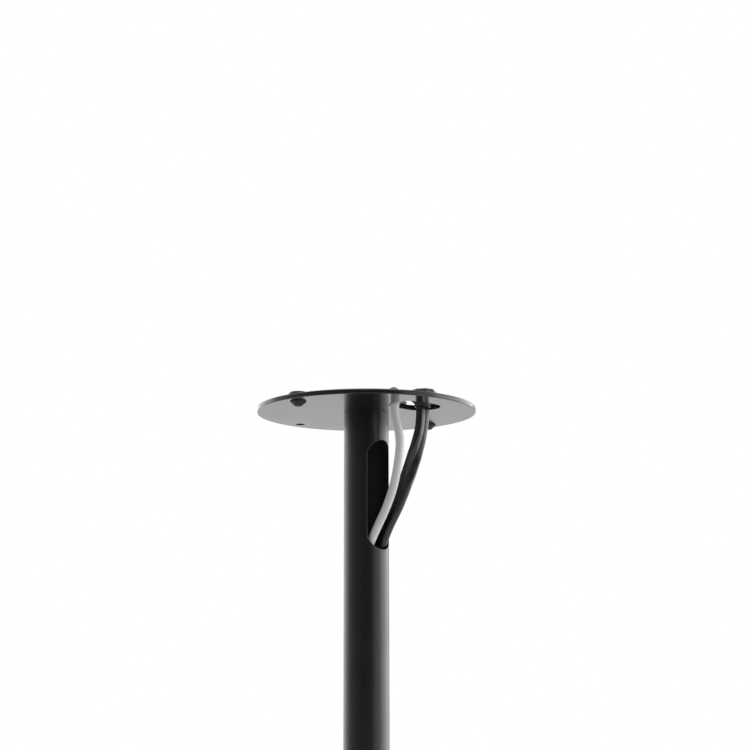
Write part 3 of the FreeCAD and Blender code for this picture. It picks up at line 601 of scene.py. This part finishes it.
def twinRing(centre, across, through, lead):
    # two cores side by side under one insulation, with a groove between them
    core = lead["thickness"] / 2 * mm
    reach = lead["width"] / 2 * mm - core
    ring = []
    for index in range(lead["sides"]):
        angle = 2 * math.pi * index / lead["sides"]
        along = math.cos(angle) * (reach + core)
        beyond = max(abs(along) - reach, 0)
        rise = core * max(1 - (beyond / core) ** lead["square"], 0) ** (1 / lead["square"])
        rise -= lead["valley"] * mm * math.exp(-((along / lead["valleyWidth"] / mm) ** 2))
        ring.append(centre + across * along + through * math.copysign(rise, math.sin(angle)))
    return ring


def skinRings(mesh, rings):
    # skins a row of rings and closes both ends
    rows = [[mesh.verts.new(point) for point in ring] for ring in rings]
    for one, two in zip(rows, rows[1:]):
        for i in range(len(one)):
            j = (i + 1) % len(one)
            mesh.faces.new((one[i], one[j], two[j], two[i]))
    mesh.faces.new(rows[0])
    mesh.faces.new(reversed(rows[-1]))


def finishMesh(name, mesh, material):
    bmesh.ops.recalc_face_normals(mesh, faces=mesh.faces)
    data = bpy.data.meshes.new(name)
    mesh.to_mesh(data)
    mesh.free()
    for face in data.polygons:
        face.use_smooth = True
    data.materials.append(material)
    piece = bpy.data.objects.new(name, data)
    scene.collection.objects.link(piece)
    return piece


def ringTube(name, rings, material):
    mesh = bmesh.new()
    skinRings(mesh, rings)
    return finishMesh(name, mesh, material)


# which way the flat lead's broad side runs, at places along its length in metres
broadSides = [
    (0.000, (1.00, 0.05, 0.0)),
    (0.014, (1.00, 0.05, 0.0)),
    (0.024, (0.98, -0.16, 0.0)),
    (0.039, (0.55, -0.84, 0.0)),
    (0.050, (0.14, -0.99, 0.0)),
    (0.080, (-0.12, -0.99, 0.0)),
    (0.160, (0.0, -1.0, 0.0)),
    (0.400, (-0.2, -1.0, 0.0)),
    (0.640, (-0.9, -0.4, 0.0)),
    (0.800, (-1.0, 0.0, 0.0)),
    (0.850, (-0.8, -0.1, -0.5)),
    (0.880, (-0.1, 0.0, -1.0)),
    (1.560, (0.0, 0.0, -1.0)),
    (1.590, (-0.4, -0.2, -0.6)),
    (1.610, (-1.0, -0.5, 0.0)),
]


def broadSideAt(distance):
    for (near, one), (far, two) in zip(broadSides, broadSides[1:]):
        if distance <= far:
            share = (distance - near) / (far - near)
            share = share * share * (3 - 2 * share)
            return Vector(one).lerp(Vector(two), share)
    return Vector(broadSides[-1][1])


def makeMainsLead():
    route = nurbsCurve("mainsRoute", wholeRoute(mains))
    points = pointsOf(route)
    bpy.data.objects.remove(route)
    rings = []
    travelled = 0.0
    for index, point in enumerate(points):
        before = points[max(index - 1, 0)]
        after = points[min(index + 1, len(points) - 1)]
        ahead = (after - before).normalized()
        travelled += (point - before).length
        broad = broadSideAt(travelled)
        across = (broad - ahead * broad.dot(ahead)).normalized()
        rings.append(twinRing(point, across, ahead.cross(across), mains))
    piece = ringTube("mainsLead", rings, finishes["black_lead"])
    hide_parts("mains_lead", "mains_lead_coil", "mains_lead_tail")
    return piece, points


def makeSignalLead():
    piece = nurbsCurve("signalLead", wholeRoute(signal))
    points = pointsOf(piece)
    piece.data.bevel_depth = signal["width"] / 2 * mm
    piece.data.bevel_resolution = 6
    piece.data.use_fill_caps = True
    piece.data.materials.append(finishes["grey_lead"])
    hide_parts("signal_lead", "signal_lead_coil", "signal_lead_tail")
    return piece, points


mainsLead, mainsPath = makeMainsLead()
signalLead, signalPath = makeSignalLead()
print("leads made:", round(lengthOf(mainsPath), 3), "m and", round(lengthOf(signalPath), 3), "m")


strap = {
    "thickness": 0.9,
    "corner": 3.0,
    "cornerSteps": 8,
    "overlap": 15.0,  # its free end lies on its own start
    "edge": 0.25,
    "gap": 1.5,  # between the rings along the band
    "liftRings": 5,  # over which the free end rises onto the start
}


def roundedLoop(low, high, radius, steps):
    # points and outward directions round an upright rectangle, from the middle of its top
    corners = [
        (high.y - radius, high.z - radius, 90),
        (high.y - radius, low.z + radius, 0),
        (low.y + radius, low.z + radius, -90),
        (low.y + radius, high.z - radius, -180),
    ]
    middle = (low.y + high.y) / 2
    path = [(Vector((0, middle, high.z)), Vector((0, 0, 1)))]
    for y, z, first in corners:
        for step in range(steps + 1):
            angle = math.radians(first - 90 * step / steps)
            outward = Vector((0, math.cos(angle), math.sin(angle)))
            path.append((Vector((0, y, z)) + outward * radius, outward))
    path.append(path[0])
    return path


def evenly(path, gap):
    # the same path with points no further apart than a gap
    finer = []
    for (one, outOne), (two, outTwo) in zip(path, path[1:]):
        count = max(1, math.ceil((two - one).length / gap))
        finer += [(one.lerp(two, i / count), outOne.lerp(outTwo, i / count)) for i in range(count)]
    return [*finer, path[-1]]


def makeStrap(name, node, setup):
    # a flat band once round the coil, with its end lapped over its start
    low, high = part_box(node)
    half = setup["thickness"] / 2 * mm
    inset = Vector((0, half, half))
    corner = setup["corner"] * mm
    outline = roundedLoop(low + inset, high - inset, corner, setup["cornerSteps"])
    loop = evenly(outline, setup["gap"] * mm)
    lap = [pair for pair in loop if (pair[0] - loop[0][0]).length < setup["overlap"] * mm]
    lap = lap[: len(lap) // 2]  # the other half lies before the start
    sides = (low.x, high.x)
    edge = setup["edge"] * mm
    rings = []
    for index, (point, outward) in enumerate([*loop, *lap[1:]]):
        lifted = (index + 1 - len(loop) + setup["liftRings"]) / setup["liftRings"]
        lifted = min(max(lifted, 0), 1)
        outer = half + lifted * setup["thickness"] * mm
        inner = outer - 2 * half
        ring = [
            (sides[0] + edge, inner),
            (sides[1] - edge, inner),
            (sides[1], inner + edge),
            (sides[1], outer - edge),
            (sides[1] - edge, outer),
            (sides[0] + edge, outer),
            (sides[0], outer - edge),
            (sides[0], inner + edge),
        ]
        rings.append([Vector((x, point.y, point.z)) + outward * out for x, out in ring])
    piece = ringTube(name, rings, finishes["tie_rubber"])
    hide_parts(node)
    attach(piece, "stand")
    return piece


relief = {
    "length": 20.0,
    "tip": 9.6,
    "root": 12.0,
    "ribs": 8,
    "ribDepth": 0.7,
    "ribbed": (0.05, 0.97),  # the share of its length between its plain ends
    "ringsPerRib": 8,
    "sides": 32,
}


def leadEnd(lead):
    # where a lead's tail ends, and the directions ahead, across and upward there
    (x1, y1, z1), (x2, y2, z2) = lead["tail"][-2:]
    ahead = Vector((x2 - x1, y2 - y1, z2 - z1)).normalized()
    across = ahead.cross(Vector((0, 0, 1))).normalized()
    return Vector((x2, y2, onFloorPlate + z2)) * mm, ahead, across, across.cross(ahead)


def makeRelief(setup):
    # a tapered, ribbed strain relief where the mains lead enters its plug
    start, ahead, across, upward = leadEnd(mains)
    steps = setup["ribs"] * setup["ringsPerRib"]
    first, last = setup["ribbed"]
    turns = [2 * math.pi * i / setup["sides"] for i in range(setup["sides"])]
    spokes = [across * math.cos(turn) + upward * math.sin(turn) for turn in turns]
    rings = []
    for step in range(steps + 1):
        share = step / steps
        radius = (setup["tip"] + (setup["root"] - setup["tip"]) * share) / 2
        if first < share < last:
            wave = 0.5 - 0.5 * math.cos(2 * math.pi * setup["ribs"] * share)
            radius -= setup["ribDepth"] * (1 - wave) ** 3
        centre = start + ahead * setup["length"] * share * mm
        rings.append([centre + spoke * radius * mm for spoke in spokes])
    piece = ringTube("mainsRelief", rings, finishes["black_plastic"])
    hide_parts("mains_plug_relief")
    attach(piece, "stand")
    return piece


plugGrip = {
    # each rib's distance from the plug's rear end, and half its length
    "ribs": [(5.2, 6.6), (8.4, 8.6), (11.6, 10.6), (14.8, 11.6)],
    "halfWidth": 1.0,
    "height": 0.9,
    "endSteps": 6,
    "sides": 16,
}


def ribRings(centre, ahead, across, upward, halfLength, setup):
    # a half-sunk bar whose ends close in a quarter round
    tip = 0.08  # of the quarter, so that the end is small but not a point
    stations = []
    for step in range(setup["endSteps"] + 1):
        angle = math.pi / 2 * (tip + (1 - tip) * step / setup["endSteps"])
        reach = halfLength - setup["halfWidth"] * (1 - math.cos(angle))
        stations.append((reach, math.sin(angle)))
    spokes = []
    for i in range(setup["sides"]):
        turn = 2 * math.pi * i / setup["sides"]
        along = ahead * math.cos(turn) * setup["halfWidth"]
        spokes.append(along + upward * math.sin(turn) * setup["height"])
    rings = []
    for side, row in ((-1, stations), (1, reversed(stations))):
        for reach, share in row:
            middle = centre + across * side * reach * mm
            rings.append([middle + spoke * share * mm for spoke in spokes])
    return rings


def makePlugGrip(setup):
    start, ahead, across, upward = leadEnd(mains)
    start += ahead * relief["length"] * mm
    start.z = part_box("mains_plug")[1].z
    mesh = bmesh.new()
    for distance, halfLength in setup["ribs"]:
        centre = start + ahead * distance * mm
        skinRings(mesh, ribRings(centre, ahead, across, upward, halfLength, setup))
    piece = finishMesh("mainsPlugGrip", mesh, finishes["black_plastic"])
    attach(piece, "stand")
    return piece


antiSlipPad = {
    "corner": 4.0,
    "edge": 0.7,
    "underEdge": 0.28,
    "arcSteps": 96,
    "cornerSteps": 8,
    "edgeSteps": 4,
    "rowsInward": (0.8, 0.55, 0.3, 0.1),  # rings of the top, as shares of the way from its middle
}


def padOutline(radius, flat, setup):
    # a disc with one straight side and rounded corners, counter-clockwise
    corner = setup["corner"] * mm
    inner = radius - corner
    reach = math.sqrt(inner**2 - (flat + corner) ** 2)
    turn = math.atan2(flat + corner, reach)
    points = []
    for step in range(setup["arcSteps"] + 1):
        angle = turn + (math.pi - 2 * turn) * step / setup["arcSteps"]
        points.append(Vector((radius * math.cos(angle), radius * math.sin(angle), 0)))
    leftCorner = (-reach, math.pi - turn, 1.5 * math.pi)
    rightCorner = (reach, -0.5 * math.pi, turn)
    for centre, first, last in (leftCorner, rightCorner):
        for step in range(1, setup["cornerSteps"] + 1):
            angle = first + (last - first) * step / setup["cornerSteps"]
            x = centre + corner * math.cos(angle)
            y = flat + corner + corner * math.sin(angle)
            points.append(Vector((x, y, 0)))
    return points[:-1]


def makePad(setup):
    low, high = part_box("top_pad")
    outline = padOutline(high.x, low.y, setup)
    count = len(outline)
    inward = []
    for index, point in enumerate(outline):
        along = outline[(index + 1) % count] - outline[index - 1]
        inward.append(Vector((-along.y, along.x, 0)).normalized())
    edge = setup["edge"] * mm
    under = setup["underEdge"] * mm
    levels = [(low.z, under), (low.z + under, 0.0)]
    for step in range(setup["edgeSteps"] + 1):
        angle = math.pi / 2 * step / setup["edgeSteps"]
        levels.append((high.z - edge * (1 - math.sin(angle)), edge * (1 - math.cos(angle))))
    rings = []
    for height, offset in levels:
        rings.append([Vector((p.x, p.y, height)) + w * offset for p, w in zip(outline, inward)])
    middle = Vector((0, (low.y + high.y) / 2, high.z))
    rim = rings[-1]
    for share in setup["rowsInward"]:
        rings.append([middle.lerp(point, share) for point in rim])
    piece = ringTube("antiSlipPad", rings, finishes["pad_rubber"])
    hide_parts("top_pad")
    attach(piece, "stand")
    return piece


mainsStrap = makeStrap("mainsStrap", "mains_coil_tie", strap)
signalStrap = makeStrap("signalStrap", "signal_coil_tie", strap)
mainsRelief = makeRelief(relief)
mainsGrip = makePlugGrip(plugGrip)
makePad(antiSlipPad)
print("straps, strain relief, plug grip and pad made")


def cadPieces(*names):
    return [frame["nodes"][name] for name in names]


mainsEnds = cadPieces("mains_connector", "mains_plug", "mains_plug_pins")
mainsEnds += [mainsStrap, mainsRelief, mainsGrip]
mainsPoints = [tuple(point) for point in mainsPath]
declareLead(mainsLead, mains, lengthOf(mainsPath))
signalEnds = cadPieces("signal_jack", "signal_jack_tip", "signal_plug", "signal_plug_tip")
signalEnds += [signalStrap]
declareLead(signalLead, signal, lengthOf(signalPath))


studio = {
    "floorRadius": 2.2,
    "floorWhite": 0.82,
    "floorRoughness": 0.9,
    "floorFade": (0.25, 1.1),  # the floor turns to the white behind between these distances
    "behind": (0.7314, 0.6820, 0.0),  # the white wall stands on this side of the stand
    "ambient": 0.36,
    # what a gloss shows, from straight in front of the stand to straight behind it
    "mirror": [(0.0, 0.12), (0.12, 0.24), (0.30, 0.38), (0.45, 0.55), (0.57, 1.0)],
}


def makeFloor(setup):
    mesh = bmesh.new()
    bmesh.ops.create_circle(mesh, cap_ends=True, segments=96, radius=setup["floorRadius"])
    data = bpy.data.meshes.new("floor")
    mesh.to_mesh(data)
    mesh.free()
    floor = bpy.data.objects.new("floor", data)
    scene.collection.objects.link(floor)
    material, nodes, links = newMaterial("paleFloor")
    shader = nodes["Principled BSDF"]
    white = setup["floorWhite"]
    shader.inputs["Base Color"].default_value = (white, white, white, 1)
    shader.inputs["Roughness"].default_value = setup["floorRoughness"]
    shader.inputs["Specular IOR Level"].default_value = 0.1
    glow = addNode(nodes, "ShaderNodeEmission", Color=(1, 1, 1, 1), Strength=1.0)
    mixed = nodes.new("ShaderNodeMixShader")
    place = nodes.new("ShaderNodeTexCoord").outputs["Object"]
    reach = nodes.new("ShaderNodeVectorMath")
    reach.operation = "LENGTH"
    links.new(place, reach.inputs[0])
    fade = nodes.new("ShaderNodeMapRange")
    fade.interpolation_type = "SMOOTHSTEP"
    fade.inputs["From Min"].default_value = setup["floorFade"][0]
    fade.inputs["From Max"].default_value = setup["floorFade"][1]
    links.new(reach.outputs["Value"], fade.inputs["Value"])
    links.new(fade.outputs["Result"], mixed.inputs["Fac"])
    links.new(shader.outputs["BSDF"], mixed.inputs[1])
    links.new(glow.outputs["Emission"], mixed.inputs[2])
    links.new(mixed.outputs["Shader"], nodes["Material Output"].inputs["Surface"])
    data.materials.append(material)


def makeWorld(setup):
    # white to the eye all round; in reflections white behind the stand and dim in front of it
    world = bpy.data.worlds.new("studio")
    scene.world = world
    world.use_nodes = True
    nodes, links = world.node_tree.nodes, world.node_tree.links
    nodes.clear()
    output = nodes.new("ShaderNodeOutputWorld")
    rays = nodes.new("ShaderNodeLightPath")
    place = nodes.new("ShaderNodeTexCoord").outputs["Generated"]
    facing = nodes.new("ShaderNodeVectorMath")
    facing.operation = "DOT_PRODUCT"
    facing.inputs[1].default_value = setup["behind"]
    links.new(place, facing.inputs[0])
    share = nodes.new("ShaderNodeMapRange")
    share.inputs["From Min"].default_value = -1
    links.new(facing.outputs["Value"], share.inputs["Value"])
    wall = nodes.new("ShaderNodeValToRGB")
    wall.color_ramp.interpolation = "EASE"
    while len(wall.color_ramp.elements) < len(setup["mirror"]):
        wall.color_ramp.elements.new(0.5)
    for element, (position, grey) in zip(wall.color_ramp.elements, setup["mirror"]):
        element.position = position
        element.color = (grey, grey, grey, 1)
    links.new(share.outputs["Result"], wall.inputs["Fac"])
    ambient = addNode(nodes, "ShaderNodeBackground", Color=(1, 1, 1, 1), Strength=setup["ambient"])
    mirrored = addNode(nodes, "ShaderNodeBackground", Strength=1.0)
    links.new(wall.outputs["Color"], mirrored.inputs["Color"])
    plain = addNode(nodes, "ShaderNodeBackground", Color=(1, 1, 1, 1), Strength=1.0)
    glossy = nodes.new("ShaderNodeMixShader")
    links.new(rays.outputs["Is Glossy Ray"], glossy.inputs["Fac"])
    links.new(ambient.outputs["Background"], glossy.inputs[1])
    links.new(mirrored.outputs["Background"], glossy.inputs[2])
    seen = nodes.new("ShaderNodeMath")
    seen.operation = "MAXIMUM"
    links.new(rays.outputs["Is Camera Ray"], seen.inputs[0])
    links.new(rays.outputs["Is Transmission Ray"], seen.inputs[1])
    both = nodes.new("ShaderNodeMixShader")
    links.new(seen.outputs["Value"], both.inputs["Fac"])
    links.new(glossy.outputs["Shader"], both.inputs[1])
    links.new(plain.outputs["Background"], both.inputs[2])
    links.new(both.outputs["Shader"], output.inputs["Surface"])


lampAim = (0, 0, 0.6)
lamps = {
    "overhead": {"place": (-0.2, -0.3, 2.4), "size": (1.4, 1.4), "power": 12.0},
    "rightFront": {"place": (0.24, -1.68, 0.95), "size": (1.05, 1.7), "power": 5.0},
    "rightBehind": {"place": (1.51, -0.77, 0.95), "size": (2.4, 1.7), "power": 34.0},
    "leftBehind": {"place": (0.20, 1.68, 0.95), "size": (2.0, 1.7), "power": 13.0},
}


def makeLamp(name, setup):
    data = bpy.data.lights.new(name, "AREA")
    data.shape = "RECTANGLE"
    data.size, data.size_y = setup["size"]
    data.energy = setup["power"]
    lamp = bpy.data.objects.new(name, data)
    lamp.location = setup["place"]
    towards = Vector(lampAim) - Vector(setup["place"])
    lamp.rotation_mode = "QUATERNION"
    lamp.rotation_quaternion = towards.to_track_quat("-Z", "Y")
    scene.collection.objects.link(lamp)


makeFloor(studio)
makeWorld(studio)
for lampName, lampSetup in lamps.items():
    makeLamp(lampName, lampSetup)
scene.view_settings.view_transform = "Standard"
print("floor and light made")
